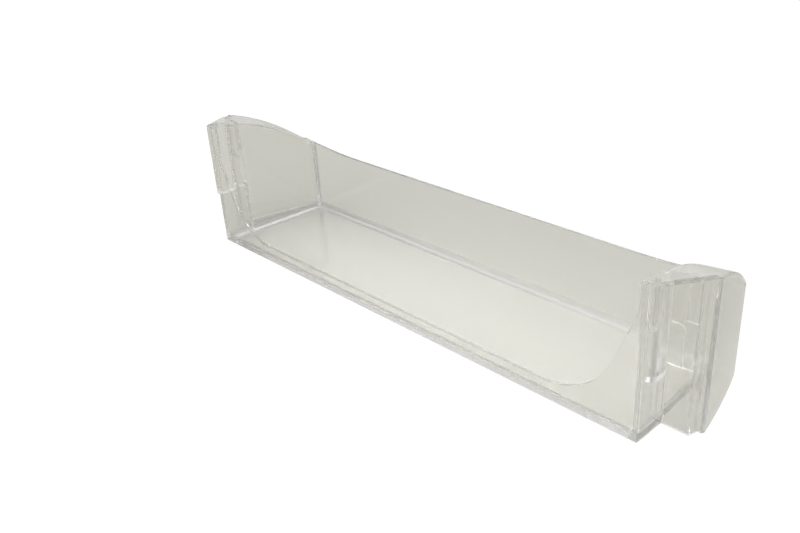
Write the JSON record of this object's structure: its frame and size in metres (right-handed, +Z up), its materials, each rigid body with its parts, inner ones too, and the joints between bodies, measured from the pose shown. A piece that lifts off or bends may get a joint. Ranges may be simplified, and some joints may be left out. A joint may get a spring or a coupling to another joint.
{
  "type": "fridge door shelf",
  "caption": "Clear moulded bottle shelf for a refrigerator door: a long tray with a high swept front, a low door side and crowned hollow ends with lug sockets.",
  "frame": {"origin": "middle of the shelf's footprint, on the underside", "axes": "+X along the door's width, +Y from the door towards the room, so the front wall is at +Y, +Z up"},
  "size_m": [0.4892, 0.106, 0.1098],
  "materials": {
    "clear_plastic": "clear gloss polystyrene with a faint grey-olive tint"
  },
  "bodies": {
    "root": {"door_shelf": "clear_plastic"}
  },
  "joints": []
}
